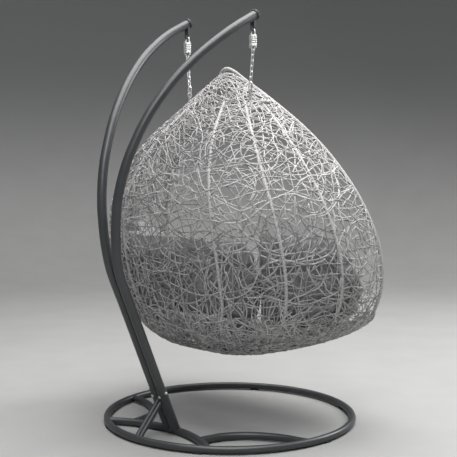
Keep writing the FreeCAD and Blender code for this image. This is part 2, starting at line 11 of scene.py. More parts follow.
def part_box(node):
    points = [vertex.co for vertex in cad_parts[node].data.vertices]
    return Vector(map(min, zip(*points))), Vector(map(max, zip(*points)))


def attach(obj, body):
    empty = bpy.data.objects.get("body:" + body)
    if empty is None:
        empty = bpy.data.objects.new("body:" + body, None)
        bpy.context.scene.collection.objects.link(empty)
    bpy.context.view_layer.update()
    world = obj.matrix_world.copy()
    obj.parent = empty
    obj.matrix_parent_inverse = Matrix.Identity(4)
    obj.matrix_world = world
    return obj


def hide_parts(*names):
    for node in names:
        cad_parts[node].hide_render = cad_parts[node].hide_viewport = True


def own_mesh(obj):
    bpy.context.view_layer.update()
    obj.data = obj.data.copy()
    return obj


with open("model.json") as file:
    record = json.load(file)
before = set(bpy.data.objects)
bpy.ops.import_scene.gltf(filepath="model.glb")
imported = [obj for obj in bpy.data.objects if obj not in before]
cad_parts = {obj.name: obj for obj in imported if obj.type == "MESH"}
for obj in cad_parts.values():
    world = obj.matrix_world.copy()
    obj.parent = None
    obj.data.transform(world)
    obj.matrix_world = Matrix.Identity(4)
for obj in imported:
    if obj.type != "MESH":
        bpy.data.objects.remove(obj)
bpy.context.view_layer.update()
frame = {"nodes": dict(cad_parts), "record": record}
NODES = frame["nodes"]
SIDES = ("left", "right")
RNG = np.random.default_rng(34)

# Every length below is in metres, in the CAD model's frame: the mouth of the basket
# faces -Y, the post stands at +Y, and "left" is +X.

# ------------------------------------------------------------------ basket surface
SUPERELLIPSE = 2.9
FRONT_SHARE = 0.27
LIP_HEIGHT = 0.500
CORNER_HEIGHT = 0.590
CORNER_REACH = 0.088
CROWN_HEIGHT = 1.700
RIM_RADIUS = 0.009
RIB_RADIUS = 0.007
RIB_VISUAL_RADIUS = 0.0092
RIB_VISUAL_CLEARANCE = 0.009
WALL_CLEARANCE = 0.013
RIM_APEX = (0.0, 0.022, 1.718)
RIM_LEVELS = (0.590, 0.700, 0.850, 1.000, 1.150, 1.300, 1.430, 1.550, 1.640)
LIP_ANGLES = (205, 235, 262, 278, 305, 335)
RIB_LEVELS = (0.388, 0.430, 0.500, 0.620, 0.780, 0.950, 1.100, 1.250, 1.400, 1.550)
RIB_ANGLES = (16.0, 43.0, 73.0, 107.0, 137.0, 164.0)
BASE_HOOP_HEIGHT = 0.388
TOP_HOOP_HEIGHT = 1.550

SMALLEST_REACH = 0.01
FLARE_STEP = 0.004

# Height, half width, depth behind the mouth, place of the mouth along Y.
OUTLINE = np.array((
    (0.345, 0.230, 0.380, -0.270),
    (0.400, 0.400, 0.560, -0.288),
    (0.500, 0.590, 0.650, -0.305),
    (0.650, 0.690, 0.685, -0.298),
    (0.850, 0.718, 0.695, -0.258),
    (1.100, 0.652, 0.635, -0.188),
    (1.350, 0.465, 0.485, -0.136),
    (1.550, 0.246, 0.220, -0.060),
    (1.700, 0.042, 0.028, 0.006),
))


def smooth_outline(height):
    """Half width, depth and mouth place at a height, on one smooth curve."""
    keys = OUTLINE[:, 0]
    k = int(np.clip(np.searchsorted(keys, height, side="right") - 1, 0, len(keys) - 2))
    span = keys[k + 1] - keys[k]
    share = (height - keys[k]) / span

    def slope(i):
        low = max(i - 1, 0)
        high = min(i + 1, len(keys) - 1)
        return (OUTLINE[high, 1:] - OUTLINE[low, 1:]) / (keys[high] - keys[low])

    return (
        OUTLINE[k, 1:] * (1 + 2 * share) * (1 - share) ** 2
        + slope(k) * span * share * (1 - share) ** 2
        + OUTLINE[k + 1, 1:] * share ** 2 * (3 - 2 * share)
        + slope(k + 1) * span * share ** 2 * (share - 1)
    )


TABLE_ROWS = 400
TABLE_HEIGHTS = np.linspace(OUTLINE[0, 0], OUTLINE[-1, 0], TABLE_ROWS)
TABLE = np.array([smooth_outline(height) for height in TABLE_HEIGHTS])
TABLE_STEP = TABLE_HEIGHTS[1] - TABLE_HEIGHTS[0]


def outline_at(height):
    """Outline from the table, carried on in straight lines past its two ends."""
    place = (height - TABLE_HEIGHTS[0]) / TABLE_STEP
    k = min(max(int(place), 0), len(TABLE) - 2)
    width, depth, mouth = TABLE[k] + (TABLE[k + 1] - TABLE[k]) * (place - k)
    return max(width, SMALLEST_REACH), max(depth, SMALLEST_REACH), mouth


def square_inset(height, clearance):
    """Level inset that leaves a clearance measured square to the flaring wall."""
    wider = outline_at(height + FLARE_STEP)[0]
    narrower = outline_at(height - FLARE_STEP)[0]
    flare = (wider - narrower) / (2 * FLARE_STEP)
    return clearance * math.hypot(1, flare)


def surface_point(height, angle_deg, inset=0.0):
    """Point of the basket wall: 0 deg is the left rim, 90 the back, 270 the front."""
    width, depth, mouth = outline_at(height)
    cosine = math.cos(math.radians(angle_deg))
    sine = math.sin(math.radians(angle_deg))
    power = 2.0 / SUPERELLIPSE
    reach = depth if sine >= 0 else FRONT_SHARE * width
    x = math.copysign(max(width - inset, 0.001) * abs(cosine) ** power, cosine)
    y = mouth + math.copysign(max(reach - inset, 0.001) * abs(sine) ** power, sine)
    return np.array((x, y, height))


def frame_point(height, angle_deg, clearance=WALL_CLEARANCE):
    return surface_point(height, angle_deg, square_inset(height, clearance))


def outlines(heights):
    """Width, depth and mouth place for many heights at once."""
    place = (heights - TABLE_HEIGHTS[0]) / TABLE_STEP
    k = np.clip(place.astype(int), 0, len(TABLE) - 2)
    rows = TABLE[k] + (TABLE[k + 1] - TABLE[k]) * (place - k)[:, None]
    width, depth, mouth = rows.T
    return np.maximum(width, SMALLEST_REACH), np.maximum(depth, SMALLEST_REACH), mouth


def wall_values(p, inset):
    """Below zero inside the basket's wall moved in by an inset, above zero outside."""
    width, depth, mouth = outlines(p[:, 2])
    reach = np.where(p[:, 1] >= mouth, depth, FRONT_SHARE * width)
    across = np.abs(p[:, 0]) / np.maximum(width - inset, 0.004)
    along = np.abs(p[:, 1] - mouth) / np.maximum(reach - inset, 0.004)
    return (across ** SUPERELLIPSE + along ** SUPERELLIPSE) ** (1 / SUPERELLIPSE) - 1


BASKET_FLOOR = 0.3475
FLOOR_REACH = 0.001
GRADIENT_STEP = 0.0015
WALL_ROUNDS = 2
MOUTH_MARGIN = 0.004
EDGE_MARGIN = 0.006


def onto_wall(p, inset):
    """Moves points to the wall, or to the flat bottom, and gives the outward normals."""
    floored = p * (1, 1, 0) + (0, 0, BASKET_FLOOR)
    flat = (p[:, 2] < BASKET_FLOOR + FLOOR_REACH) & (wall_values(floored, inset) < 0)
    for _ in range(WALL_ROUNDS):
        gradient = np.stack([
            wall_values(p + step, inset) - wall_values(p - step, inset)
            for step in np.eye(3) * GRADIENT_STEP
        ], axis=1) / (2 * GRADIENT_STEP)
        steepness = np.linalg.norm(gradient, axis=1)
        normals = gradient / steepness[:, None]
        p = p - normals * (wall_values(p, inset) / steepness)[:, None]
    p[:, 2] = np.maximum(p[:, 2], BASKET_FLOOR)
    p[flat] = floored[flat]
    normals[flat] = (0.0, 0.0, -1.0)
    return p, normals


def beyond_mouth(p):
    """True where points have passed the rim, so their strands end there."""
    _, _, mouth = outlines(p[:, 2])
    forward = mouth - p[:, 1]
    share = np.clip(forward / CORNER_REACH, 0, 1)
    edge = CORNER_HEIGHT - (CORNER_HEIGHT - LIP_HEIGHT) * share
    behind = forward < -MOUTH_MARGIN
    return np.where(behind, p[:, 2] > CROWN_HEIGHT, p[:, 2] > edge - EDGE_MARGIN)


# ------------------------------------------------------------------- mesh helpers
def mesh_object(name, vertices, faces, smooth=True):
    mesh = bpy.data.meshes.new(name)
    mesh.from_pydata([tuple(v) for v in vertices], [], faces)
    mesh.validate()
    mesh.polygons.foreach_set("use_smooth", [smooth] * len(mesh.polygons))
    obj = bpy.data.objects.new(name, mesh)
    bpy.context.scene.collection.objects.link(obj)
    return obj


def catmull_rom(points, per_span, closed=False):
    """Dense points on a smooth curve through the given ones."""
    points = np.array(points, float)
    count = len(points)
    spans = count if closed else count - 1
    dense = []
    for i in range(spans):
        if closed:
            a, b, c, d = (points[(i + k - 1) % count] for k in range(4))
        else:
            a, b, c, d = (points[min(max(i + k - 1, 0), count - 1)] for k in range(4))
        for j in range(per_span):
            s = j / per_span
            dense.append(0.5 * (
                2 * b + (c - a) * s + (2 * a - 5 * b + 4 * c - d) * s ** 2
                + (3 * b - a - 3 * c + d) * s ** 3
            ))
    if not closed:
        dense.append(points[-1])
    return np.array(dense)


def even_points(points, step, closed=False):
    """Points at an even spacing along a polyline."""
    if closed:
        points = np.vstack([points, points[:1]])
    runs = np.linalg.norm(np.diff(points, axis=0), axis=1)
    place = np.concatenate([[0], np.cumsum(runs)])
    count = max(int(round(place[-1] / step)), 3)
    wanted = np.linspace(0, place[-1], count + 1)
    even = np.column_stack([np.interp(wanted, place, points[:, k]) for k in range(3)])
    return even[:-1] if closed else even


def frames_along(points, closed=False):
    """Two cross directions at each point, which do not twist along a path."""
    if closed:
        tangents = np.roll(points, -1, 0) - np.roll(points, 1, 0)
    else:
        tangents = np.gradient(points, axis=0)
    tangents /= np.linalg.norm(tangents, axis=1)[:, None]
    start = np.cross(tangents[0], (0.0, 0.0, 1.0))
    if np.linalg.norm(start) < 0.1:
        start = np.cross(tangents[0], (1.0, 0.0, 0.0))
    side = start / np.linalg.norm(start)
    sides = []
    for tangent in tangents:
        side = side - tangent * np.dot(side, tangent)
        side = side / np.linalg.norm(side)
        sides.append(side)
    sides = np.array(sides)
    return sides, np.cross(tangents, sides)


def tube_faces(rings, sides, closed, first=0):
    """Quads between rings of vertices, and end caps on an open tube."""
    faces = []
    last = rings if closed else rings - 1
    for i in range(last):
        a = first + i * sides
        b = first + ((i + 1) % rings) * sides
        for k in range(sides):
            n = (k + 1) % sides
            faces.append((a + k, a + n, b + n, b + k))
    if not closed:
        faces.append(tuple(first + k for k in reversed(range(sides))))
        faces.append(tuple(first + (rings - 1) * sides + k for k in range(sides)))
    return faces


def rings_along(points, radii, closed):
    """Rings of vertices round a path, from one row of radii for each of its points."""
    across, up = frames_along(points, closed)
    angles = np.linspace(0, 2 * math.pi, radii.shape[1], endpoint=False)
    circle = (
        np.cos(angles)[None, :, None] * across[:, None]
        + np.sin(angles)[None, :, None] * up[:, None]
    )
    return (points[:, None] + circle * radii[..., None]).reshape(-1, 3)


def tube(name, points, radius, sides, closed=False):
    """Plain round tube along a path."""
    vertices = rings_along(points, np.full((len(points), sides), radius), closed)
    return mesh_object(name, vertices, tube_faces(len(points), sides, closed))


RINGS_PER_WRAP = 5


def wrapped_tube(name, points, radius, pitch, sides=12, closed=False):
    """Bar wound with a flat strand: low ridges that climb round it in a helix."""
    points = even_points(points, pitch / RINGS_PER_WRAP, closed)
    angles = np.linspace(0, 2 * math.pi, sides, endpoint=False)
    along = np.arange(len(points))[:, None] / RINGS_PER_WRAP
    turns = along + angles[None, :] / (2 * math.pi)
    ridge = np.abs(np.sin(math.pi * turns)) ** 0.6
    lazy = 0.5 + 0.5 * np.sin(turns * 0.9) * np.sin(turns * 0.23 + 1.0)
    radii = radius * (0.86 + 0.10 * ridge + 0.04 * lazy)
    vertices = rings_along(points, radii, closed)
    obj = mesh_object(name, vertices, tube_faces(len(points), sides, closed))
    wrap = np.floor(turns)
    tones = 0.5 + 0.3 * np.sin(wrap * 12.9898) * np.cos(wrap * 4.1414)
    set_attribute(obj, "tone", tones.reshape(-1))
    return obj


def set_attribute(obj, name, values):
    attribute = obj.data.attributes.new(name, "FLOAT", "POINT")
    attribute.data.foreach_set("value", np.asarray(values, np.float32))


# ---------------------------------------------------------------------- materials
NOISE_ROUGHNESS = 0.55
WAVE_DETAIL_SCALE = 2.0


class Shader:
    """A Principled material and short calls for the nodes in front of it."""

    def __init__(self, name, roughness, metallic=0.0):
        self.material = bpy.data.materials.new(name)
        self.material.use_nodes = True
        self.tree = self.material.node_tree
        self.surface = self.tree.nodes["Principled BSDF"]
        self.surface.inputs["Roughness"].default_value = roughness
        self.surface.inputs["Metallic"].default_value = metallic
        self.coordinates = self.tree.nodes.new("ShaderNodeTexCoord").outputs["Object"]

    def link(self, source, node, socket):
        self.tree.links.new(source, node.inputs[socket])

    def stretch(self, scale):
        mapping = self.tree.nodes.new("ShaderNodeMapping")
        mapping.inputs["Scale"].default_value = scale
        self.link(self.coordinates, mapping, "Vector")
        return mapping.outputs["Vector"]

    def noise(self, scale, detail=3.0, vector=None):
        node = self.tree.nodes.new("ShaderNodeTexNoise")
        node.inputs["Scale"].default_value = scale
        node.inputs["Detail"].default_value = detail
        node.inputs["Roughness"].default_value = NOISE_ROUGHNESS
        self.link(vector or self.coordinates, node, "Vector")
        return node.outputs["Fac"]

    def voronoi(self, scale):
        node = self.tree.nodes.new("ShaderNodeTexVoronoi")
        node.inputs["Scale"].default_value = scale
        self.link(self.coordinates, node, "Vector")
        return node.outputs["Distance"]

    def wave(self, scale, direction, distortion):
        node = self.tree.nodes.new("ShaderNodeTexWave")
        node.bands_direction = direction
        node.inputs["Scale"].default_value = scale
        node.inputs["Distortion"].default_value = distortion
        node.inputs["Detail Scale"].default_value = WAVE_DETAIL_SCALE
        self.link(self.coordinates, node, "Vector")
        return node.outputs["Fac"]

    def attribute(self, name):
        node = self.tree.nodes.new("ShaderNodeAttribute")
        node.attribute_name = name
        return node.outputs["Fac"]

    def ramp(self, value, stops):
        node = self.tree.nodes.new("ShaderNodeValToRGB")
        elements = node.color_ramp.elements
        while len(elements) < len(stops):
            elements.new(0.5)
        for element, (place, colour) in zip(elements, stops):
            element.position = place
            element.color = (*colour, 1.0)
        self.link(value, node, "Fac")
        return node.outputs["Color"]

    def math(self, operation, a, b):
        node = self.tree.nodes.new("ShaderNodeMath")
        node.operation = operation
        for socket, value in enumerate((a, b)):
            if isinstance(value, (int, float)):
                node.inputs[socket].default_value = value
            else:
                self.tree.links.new(value, node.inputs[socket])
        return node.outputs["Value"]

    def mix(self, factor, a, b, blend="MIX"):
        node = self.tree.nodes.new("ShaderNodeMix")
        node.data_type = "RGBA"
        node.blend_type = blend
        for socket, value in ((0, factor), (6, a), (7, b)):
            if isinstance(value, (int, float)):
                node.inputs[socket].default_value = value
            elif isinstance(value, tuple):
                node.inputs[socket].default_value = (*value, 1.0)
            else:
                self.tree.links.new(value, node.inputs[socket])
        return node.outputs[2]

    def spread(self, value, low, high):
        node = self.tree.nodes.new("ShaderNodeMapRange")
        node.inputs["To Min"].default_value = low
        node.inputs["To Max"].default_value = high
        self.link(value, node, "Value")
        return node.outputs["Result"]

    def height_share(self, low, high):
        """0 below one height in the world and 1 above another."""
        geometry = self.tree.nodes.new("ShaderNodeNewGeometry")
        split = self.tree.nodes.new("ShaderNodeSeparateXYZ")
        self.link(geometry.outputs["Position"], split, "Vector")
        node = self.tree.nodes.new("ShaderNodeMapRange")
        node.interpolation_type = "SMOOTHSTEP"
        node.inputs["From Min"].default_value = low
        node.inputs["From Max"].default_value = high
        self.link(split.outputs["Z"], node, "Value")
        return node.outputs["Result"]

    def colour(self, output):
        self.link(output, self.surface, "Base Color")

    def rough(self, output):
        self.link(output, self.surface, "Roughness")

    def bump(self, height, distance, strength=1.0):
        node = self.tree.nodes.new("ShaderNodeBump")
        node.inputs["Strength"].default_value = strength
        node.inputs["Distance"].default_value = distance
        self.link(height, node, "Height")
        self.link(node.outputs["Normal"], self.surface, "Normal")


def powder_coat():
    """Graphite powder coat: orange-peel surface, faint dust, slightly uneven gloss."""
    s = Shader("graphite_powder_coat", 0.4)
    cloud = s.noise(6.0, 4.0)
    fine = s.noise(900.0, 2.0)
    s.colour(s.mix(s.spread(fine, 0.0, 0.35), s.ramp(cloud, [
        (0.30, (0.026, 0.028, 0.031)), (0.70, (0.040, 0.043, 0.047)),
    ]), (0.070, 0.074, 0.078)))
    s.rough(s.spread(s.noise(24.0, 5.0), 0.34, 0.46))
    s.surface.inputs["Specular IOR Level"].default_value = 0.62
    s.bump(s.noise(520.0, 2.0), 0.0004, 0.35)
    return s.material


def zinc_steel():
    """Bright zinc plate with faint spangle and duller patches."""
    s = Shader("zinc_steel", 0.3, 1.0)
    spangle = s.voronoi(260.0)
    s.colour(s.ramp(s.mix(0.5, spangle, s.noise(80.0)), [
        (0.15, (0.70, 0.70, 0.70)), (0.75, (0.90, 0.90, 0.89)),
    ]))
    s.rough(s.spread(s.noise(150.0, 4.0), 0.34, 0.50))
    s.bump(s.noise(700.0, 2.0), 0.0002, 0.3)
    return s.material


def black_plastic():
    """Moulded plastic with a fine grain."""
    s = Shader("black_plastic", 0.45)
    s.colour(s.ramp(s.noise(60.0), [
        (0.3, (0.012, 0.012, 0.013)), (0.7, (0.024, 0.024, 0.026)),
    ]))
    s.rough(s.spread(s.noise(220.0), 0.38, 0.55))
    s.bump(s.noise(1100.0, 2.0), 0.0002, 0.4)
    return s.material


def black_rubber():
    """Dull rubber with greyer, dusty patches."""
    s = Shader("black_rubber", 0.8)
    s.colour(s.ramp(s.noise(40.0, 5.0), [
        (0.3, (0.012, 0.012, 0.012)), (0.75, (0.04, 0.039, 0.037)),
    ]))
    s.rough(s.spread(s.noise(90.0), 0.68, 0.9))
    s.bump(s.noise(600.0, 3.0), 0.0005, 0.5)
    return s.material


def grey_rattan(name, low, high):
    """Synthetic rattan: each strand has its own tone, with fine drawn streaks."""
    s = Shader(name, 0.5)
    strand = s.ramp(s.attribute("tone"), [(0.0, low), (1.0, high)])
    streak = s.noise(420.0, 3.0, s.stretch((1.0, 1.0, 0.35)))
    s.colour(s.mix(0.30, strand, s.ramp(streak, [
        (0.35, (0.22, 0.215, 0.21)), (0.65, (0.86, 0.855, 0.85)),
    ]), "OVERLAY"))
    s.rough(s.spread(s.noise(160.0), 0.40, 0.62))
    s.surface.inputs["Specular IOR Level"].default_value = 0.5
    s.bump(streak, 0.0005, 0.45)
    return s.material


YARNS = 260.0
YARN_WOBBLE = 0.6


def grey_fabric(name, dark, light):
    """Outdoor polyester: plain weave, melange yarns and soft blotches."""
    s = Shader(name, 0.9)
    s.surface.inputs["Sheen Weight"].default_value = 0.25
    s.surface.inputs["Sheen Roughness"].default_value = 0.5
    melange = s.noise(700.0, 2.0, s.stretch((1.0, 1.0, 0.3)))
    blotch = s.noise(9.0, 4.0)
    across, along, up = (s.wave(YARNS, direction, YARN_WOBBLE) for direction in "XYZ")
    level = s.math("MULTIPLY", s.math("ADD", across, along), 0.5)
    weave = s.math("MULTIPLY", s.math("ADD", level, up), 0.5)
    base = s.ramp(melange, [(0.25, dark), (0.75, light)])
    s.colour(s.mix(s.spread(blotch, 0.0, 0.22), base, dark))
    s.rough(s.spread(s.noise(120.0), 0.82, 0.97))
    s.bump(weave, 0.0009, 0.5)
    return s.material


STRAND_TONES = (0.20, 0.198, 0.201), (0.50, 0.494, 0.497)
# Paler tones for the wrapped rim and ribs: painted light that lifts them out of the shade of the
# weave.
PAINTED_LIGHT_WRAP_TONES = (0.34, 0.336, 0.339), (0.50, 0.494, 0.497)
COVER_TONES = (0.21, 0.208, 0.212), (0.41, 0.407, 0.412)
PIPING_TONES = (0.15, 0.149, 0.152), (0.28, 0.278, 0.282)

MATERIALS = {
    "graphite_powder_coat": powder_coat(),
    "zinc_steel": zinc_steel(),
    "black_plastic": black_plastic(),
    "black_rubber": black_rubber(),
    "grey_rattan": grey_rattan("grey_rattan", *STRAND_TONES),
    # Paler copy of the strand rattan for the wraps: painted light on the shaded rim and ribs.
    "wrapped_rattan_painted_light": grey_rattan("wrapped_rattan_painted_light", *PAINTED_LIGHT_WRAP_TONES),
    "grey_fabric": grey_fabric("grey_fabric", *COVER_TONES),
    "piping_fabric": grey_fabric("piping_fabric", *PIPING_TONES),
}


def dress(obj, material_name):
    obj.data.materials.clear()
    obj.data.materials.append(MATERIALS[material_name])


def add_piece(obj, body, slot, material_name=None, replaces=()):
    """Gives a new piece its finish, its body and the CAD nodes that it stands for."""
    dress(obj, material_name or slot)
    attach(obj, body)
    if replaces:
        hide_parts(*replaces)
    return obj


def dress_cad_nodes():
    """Material of each CAD node that stays in sight, by the record's slots."""
    for row in frame["record"]["subparts"]:
        dress(NODES[row["node"]], row["material_slot"])


# --------------------------------------------------------------------------- weave
STRAND_STEP = 0.013
STRAND_INSET = 0.0045
STRAND_HALF_WIDTH = 0.0031
STRAND_HALF_THICKNESS = 0.0019
STRAND_SIDES = 6
STRAND_LENGTHS = (0.40, 1.2)
STRAND_FEWEST_POINTS = 9
STRAND_RISE = 0.0022
STRAND_RISE_RATES = (70, 110)
STRAND_LAYERS = (-0.002, 0.001)
STRAND_SIZES = (0.88, 1.12)

# A strand's bend at its start, the share of it kept at each step, and what is added.
FIRST_BEND = 0.05
BEND_KEPT = 0.84
BEND_ADDED = 0.048

HOOD_STARTS = 3000
HOOD_START_HEIGHTS = (0.47, 1.69)
HOOD_START_ANGLES = (-4, 184)
HOOD_HEIGHTS = (0.43, 2.0)
HOOD_STEEPNESS = 0.9
HOOD_LENGTH = 400.0
BOWL_STARTS = 1200
BOWL_START_HEIGHTS = (0.346, 0.53)
BOWL_START_ANGLES = (0, 360)
BOWL_HEIGHTS = (0.0, 0.58)
BOWL_STEEPNESS = 0.4
BOWL_LENGTH = 200.0
UNDER_EVERY = 4
UNDER_SPREAD = 0.4
UNDER_BACK = -0.05

CELL = 0.038
CROWD_STEP = 0.4
CROWD_MOST = 40
WIDEST_START = 0.72
START_MARGIN = 0.08


def scattered_starts(count, start_heights, start_angles):
    """Starting points spread over part of the wall, more of them where it is wider."""
    heights = RNG.uniform(*start_heights, count * 3)
    width, _, _ = outlines(heights)
    wide_enough = RNG.uniform(0, WIDEST_START, count * 3) < width + START_MARGIN
    heights = heights[wide_enough][:count]
    angles = RNG.uniform(*start_angles, len(heights))
    return np.array([surface_point(h, a, STRAND_INSET) for h, a in zip(heights, angles)])


def grow_strands(starts, steepness, allowed_heights):
    """Strands laid by hand: each wanders over the wall until used up or at the rim."""
    low, high = allowed_heights
    count = len(starts)
    p, normals = onto_wall(starts, STRAND_INSET)
    heading = RNG.normal(size=(count, 3)) * (1, 1, steepness)
    bend = RNG.normal(0, FIRST_BEND, count)
    steps = (RNG.uniform(*STRAND_LENGTHS, count) / STRAND_STEP).astype(int)
    alive = ~beyond_mouth(p)
    points = [[] for _ in range(count)]
    sides = [[] for _ in range(count)]
    for number in range(int(STRAND_LENGTHS[1] / STRAND_STEP)):
        heading -= normals * np.sum(heading * normals, axis=1)[:, None]
        heading /= np.linalg.norm(heading, axis=1)[:, None]
        for i in np.flatnonzero(alive):
            points[i].append(p[i])
            sides[i].append(normals[i])
        bend = BEND_KEPT * bend + RNG.normal(0, BEND_ADDED, count)
        turn = np.cross(normals, heading)
        heading = heading * np.cos(bend)[:, None] + turn * np.sin(bend)[:, None]
        p, normals = onto_wall(p + heading * STRAND_STEP, STRAND_INSET)
        alive &= ~beyond_mouth(p) & (number < steps) & (p[:, 2] > low) & (p[:, 2] < high)
    return [
        (np.array(path), np.array(path_normals))
        for path, path_normals in zip(points, sides) if len(path) >= STRAND_FEWEST_POINTS
    ]


def crowding_allowed(heights):
    """The weave is closer under the seat and round the crown."""
    return 1.0 + 0.7 * (heights < 0.52) + 0.9 * np.clip((heights - 1.40) / 0.14, 0, 1)


def choose_strands(strands, total):
    """Keeps the strands that fill the emptiest places, until the length is used up."""
    counts = {}
    kept = []
    laid = 0.0
    cells = [
        [tuple(c) for c in np.floor(points / CELL).astype(int)] for points, _ in strands
    ]
    ease = [1 / crowding_allowed(points[:, 2]) for points, _ in strands]
    waiting = list(range(len(strands)))
    for level in np.arange(CROWD_STEP, CROWD_MOST, CROWD_STEP):
        skipped = []
        for i in waiting:
            crowd = np.mean([counts.get(c, 0.0) for c in cells[i]])
            if laid > total or crowd > level:
                skipped.append(i)
                continue
            for c, share in zip(cells[i], ease[i]):
                counts[c] = counts.get(c, 0.0) + share
            kept.append(strands[i])
            laid += len(cells[i]) * STRAND_STEP
        waiting = skipped
        if laid > total:
            break
    return kept


def strand_mesh(name, strands):
    """One mesh of many flat-oval strands that rise and dip over each other."""
    vertices = []
    faces = []
    tones = []
    angles = np.linspace(0, 2 * math.pi, STRAND_SIDES, endpoint=False)
    first = 0
    for points, normals in strands:
        tangents = np.gradient(points, axis=0)
        tangents /= np.linalg.norm(tangents, axis=1)[:, None]
        across = np.cross(normals, tangents)
        across /= np.linalg.norm(across, axis=1)[:, None]
        along = np.arange(len(points)) * STRAND_STEP
        phase = along * RNG.uniform(*STRAND_RISE_RATES) + RNG.uniform(0, 6.28)
        wave = STRAND_RISE * np.sin(phase)
        middle = points + normals * (wave + RNG.uniform(*STRAND_LAYERS))[:, None]
        half_width = STRAND_HALF_WIDTH * RNG.uniform(*STRAND_SIZES)
        wide = np.cos(angles)[None, :, None] * across[:, None] * half_width
        thick = np.sin(angles)[None, :, None] * normals[:, None] * STRAND_HALF_THICKNESS
        vertices.append((middle[:, None] + wide + thick).reshape(-1, 3))
        faces.extend(tube_faces(len(points), STRAND_SIDES, False, first))
        tones.extend([RNG.uniform()] * (len(points) * STRAND_SIDES))
        first += len(points) * STRAND_SIDES
    obj = mesh_object(name, np.concatenate(vertices), faces)
    set_attribute(obj, "tone", tones)
    return obj


def bowl_starts():
    """Starts round the bowl, some of them moved onto the flat bottom."""
    starts = scattered_starts(BOWL_STARTS, BOWL_START_HEIGHTS, BOWL_START_ANGLES)
    moved = starts[::UNDER_EVERY]
    shares = np.sqrt(RNG.uniform(0, UNDER_SPREAD, len(moved)))[:, None]
    starts[::UNDER_EVERY] = moved * (1, 1, 0) * shares + (0, UNDER_BACK, BASKET_FLOOR)
    return starts


def make_weave():
    starts = scattered_starts(HOOD_STARTS, HOOD_START_HEIGHTS, HOOD_START_ANGLES)
    hood = choose_strands(grow_strands(starts, HOOD_STEEPNESS, HOOD_HEIGHTS), HOOD_LENGTH)
    strands = grow_strands(bowl_starts(), BOWL_STEEPNESS, BOWL_HEIGHTS)
    bowl = choose_strands(strands, BOWL_LENGTH)
    add_piece(strand_mesh("hood_strands", hood), "basket", "grey_rattan", replaces=["woven_hood"])
    add_piece(strand_mesh("bowl_strands", bowl), "basket", "grey_rattan", replaces=["woven_bowl"])


# ------------------------------------------------------------------- basket frame
def rim_points():
    left = [surface_point(level, 0, RIM_RADIUS) for level in RIM_LEVELS]
    right = [surface_point(level, 180, RIM_RADIUS) for level in reversed(RIM_LEVELS)]
    lip = [surface_point(LIP_HEIGHT, angle, RIM_RADIUS) for angle in LIP_ANGLES]
    return catmull_rom(left + [np.array(RIM_APEX)] + right + lip, 14, closed=True)


def hoop_points(height, angles):
    return catmull_rom([frame_point(height, angle) for angle in angles], 10, closed=True)


def rib_point(height, angle_deg):
    return frame_point(height, angle_deg, RIB_VISUAL_CLEARANCE)


def rib_path(angle_deg):
    return catmull_rom([rib_point(level, angle_deg) for level in RIB_LEVELS], 14)


BASE_HOOP_ANGLES = [7.5 + 15 * i for i in range(24)]
TOP_HOOP_ANGLES = [6 + 24 * i for i in range(8)]
RIM_WRAP_PITCH = 0.0065
RIB_WRAP_PITCH = 0.0080
WRAP_PITCH = 0.0062
RIM_SIDES = 14


def make_basket_frame():
    rim = wrapped_tube("rim_wrap", rim_points(), RIM_RADIUS, RIM_WRAP_PITCH, RIM_SIDES, closed=True)
    add_piece(rim, "basket", "grey_rattan", "wrapped_rattan_painted_light", replaces=["mouth_rim"])
    for number, angle in enumerate(RIB_ANGLES, start=1):
        rib = wrapped_tube(
            "rib_wrap_%d" % number, rib_path(angle), RIB_VISUAL_RADIUS, RIB_WRAP_PITCH)
        add_piece(rib, "basket", "grey_rattan", "wrapped_rattan_painted_light", replaces=["rib_%d" % number])
    for node, height, angles in (
        ("base_hoop", BASE_HOOP_HEIGHT, BASE_HOOP_ANGLES),
        ("top_hoop", TOP_HOOP_HEIGHT, TOP_HOOP_ANGLES),
    ):
        path = hoop_points(height, angles)
        hoop = wrapped_tube(node + "_wrap", path, RIB_RADIUS, WRAP_PITCH, closed=True)
        add_piece(hoop, "basket", "grey_rattan", replaces=[node])


# ----------------------------------------------------------------------- cushions
VOXEL = 0.009
PRESSURE = 4.0
LAST_FRAME = 20


def shrunken_copy(node, name, shrink, rounds):
    """Copy of a CAD cushion, remeshed, softened and drawn in, ready to be blown up."""
    mesh = NODES[node].data.copy()
    obj = bpy.data.objects.new(name, mesh)
    bpy.context.scene.collection.objects.link(obj)
    remesh = obj.modifiers.new("remesh", "REMESH")
    remesh.mode = "VOXEL"
    remesh.voxel_size = VOXEL
    smooth = obj.modifiers.new("smooth", "SMOOTH")
    smooth.iterations = rounds
    smooth.factor = 0.5
    bake_modifiers(obj)
    push(obj, -shrink)
    return obj


def bake_modifiers(obj):
    bpy.context.view_layer.update()
    evaluated = obj.evaluated_get(bpy.context.evaluated_depsgraph_get())
    mesh = bpy.data.meshes.new_from_object(evaluated)
    obj.modifiers.clear()
    obj.data = mesh


def positions(mesh):
    co = np.zeros(len(mesh.vertices) * 3, np.float32)
    mesh.vertices.foreach_get("co", co)
    return co.reshape(-1, 3)


def place(obj, co):
    obj.data.vertices.foreach_set("co", np.asarray(co, np.float32).reshape(-1))
    obj.data.update()


def push(obj, amount):
    """Moves every point along its normal by one amount, or by one amount each."""
    normals = np.array([v.normal for v in obj.data.vertices])
    amounts = np.broadcast_to(amount, len(normals))
    place(obj, positions(obj.data) + normals * amounts[:, None])


